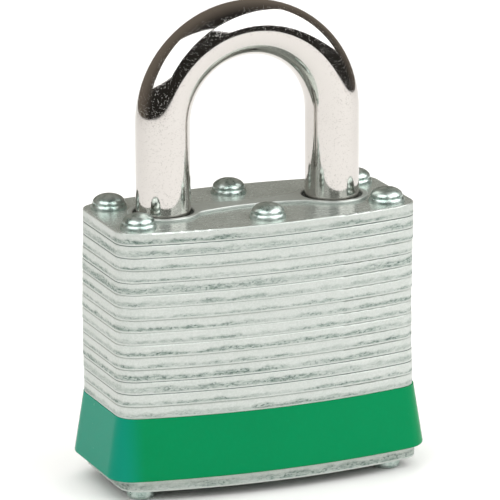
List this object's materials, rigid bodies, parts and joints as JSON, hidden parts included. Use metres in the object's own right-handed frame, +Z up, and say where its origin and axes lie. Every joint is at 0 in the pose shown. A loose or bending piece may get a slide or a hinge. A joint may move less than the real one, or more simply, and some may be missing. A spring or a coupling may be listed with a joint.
{
  "type": "padlock",
  "caption": "Laminated steel padlock with a round-bar shackle, riveted plates, a bumper band, twin locking levers and a pin cylinder.",
  "frame": {"origin": "centre of the surface the rivet ends stand on, below the middle of the body", "axes": "+Z up through the shackle, +X across the width towards the shackle's toe, -Y out of the front face"},
  "size_m": [0.0426, 0.0216, 0.0611],
  "materials": {
    "zinc_plate": "galvanised, satin, with rough stamped edges",
    "rivet_steel": "zinc plated, semi-gloss",
    "shackle_chrome": "bright chrome plate",
    "bumper_plastic": "gloss green moulded plastic",
    "brass": "machined brass",
    "lever_steel": "hardened steel, plain",
    "spring_wire": "spring wire"
  },
  "bodies": {
    "lock_body": {"plate_01": "zinc_plate", "plate_02": "zinc_plate", "plate_03": "zinc_plate", "plate_04": "zinc_plate", "plate_05": "zinc_plate", "plate_06": "zinc_plate", "plate_07": "zinc_plate", "plate_08": "zinc_plate", "plate_09": "zinc_plate", "plate_10": "zinc_plate", "plate_11": "zinc_plate", "plate_12": "zinc_plate", "plate_13": "zinc_plate", "plate_14": "zinc_plate", "plate_15": "zinc_plate", "plate_16": "zinc_plate", "plate_17": "zinc_plate", "plate_18": "zinc_plate", "plate_19": "zinc_plate", "plate_20": "zinc_plate", "plate_21": "zinc_plate", "corner_rivets": "rivet_steel", "middle_rivets": "rivet_steel", "bumper": "bumper_plastic", "cylinder_housing": "brass", "chamber_cover": "brass", "ejector_spring": "spring_wire", "lever_springs": "spring_wire", "driver_springs": "spring_wire"},
    "shackle": {"shackle": "shackle_chrome"},
    "plug": {"plug": "brass", "cam": "lever_steel"},
    "toe_lever": {"toe_lever": "lever_steel"},
    "heel_lever": {"heel_lever": "lever_steel"},
    "key_pin_1": {"key_pin_1": "brass"},
    "key_pin_2": {"key_pin_2": "brass"},
    "key_pin_3": {"key_pin_3": "brass"},
    "key_pin_4": {"key_pin_4": "brass"},
    "driver_pin_1": {"driver_pin_1": "brass"},
    "driver_pin_2": {"driver_pin_2": "brass"},
    "driver_pin_3": {"driver_pin_3": "brass"},
    "driver_pin_4": {"driver_pin_4": "brass"}
  },
  "joints": [
    {"name": "shackle_lift", "type": "slide", "parent": "lock_body", "child": "shackle", "axis": [0, 0, 1], "range_m": [0, 0.013], "deforming": ["ejector_spring"]},
    {"name": "plug_turn", "type": "hinge", "parent": "lock_body", "child": "plug", "pos_m": [0, 0, 0.012], "axis": [0, 0, 1], "range_deg": [-90, 0], "deforming": ["lever_springs"]},
    {"name": "toe_lever_slide", "type": "slide", "parent": "lock_body", "child": "toe_lever", "axis": [1, 0, 0], "range_m": [0, 0.00166], "deforming": ["lever_springs"]},
    {"name": "heel_lever_slide", "type": "slide", "parent": "lock_body", "child": "heel_lever", "axis": [-1, 0, 0], "range_m": [0, 0.00166], "deforming": ["lever_springs"]},
    {"name": "key_pin_1_slide", "type": "slide", "parent": "plug", "child": "key_pin_1", "axis": [0, -1, 0], "range_m": [0, 0.00065]},
    {"name": "key_pin_2_slide", "type": "slide", "parent": "plug", "child": "key_pin_2", "axis": [0, -1, 0], "range_m": [0, 0.00145]},
    {"name": "key_pin_3_slide", "type": "slide", "parent": "plug", "child": "key_pin_3", "axis": [0, -1, 0], "range_m": [0, 0.00095]},
    {"name": "key_pin_4_slide", "type": "slide", "parent": "plug", "child": "key_pin_4", "axis": [0, -1, 0], "range_m": [0, 0.00175]},
    {"name": "driver_pin_1_slide", "type": "slide", "parent": "lock_body", "child": "driver_pin_1", "axis": [1, 0, 0], "range_m": [0, 0.0016], "deforming": ["driver_springs"]},
    {"name": "driver_pin_2_slide", "type": "slide", "parent": "lock_body", "child": "driver_pin_2", "axis": [1, 0, 0], "range_m": [0, 0.0016], "deforming": ["driver_springs"]},
    {"name": "driver_pin_3_slide", "type": "slide", "parent": "lock_body", "child": "driver_pin_3", "axis": [1, 0, 0], "range_m": [0, 0.0016], "deforming": ["driver_springs"]},
    {"name": "driver_pin_4_slide", "type": "slide", "parent": "lock_body", "child": "driver_pin_4", "axis": [1, 0, 0], "range_m": [0, 0.0016], "deforming": ["driver_springs"]}
  ],
  "couplings": [
    {"joint": "toe_lever_slide", "follows": "plug_turn", "m_per_rad": -0.0010504},
    {"joint": "heel_lever_slide", "follows": "plug_turn", "m_per_rad": -0.0010504}
  ]
}
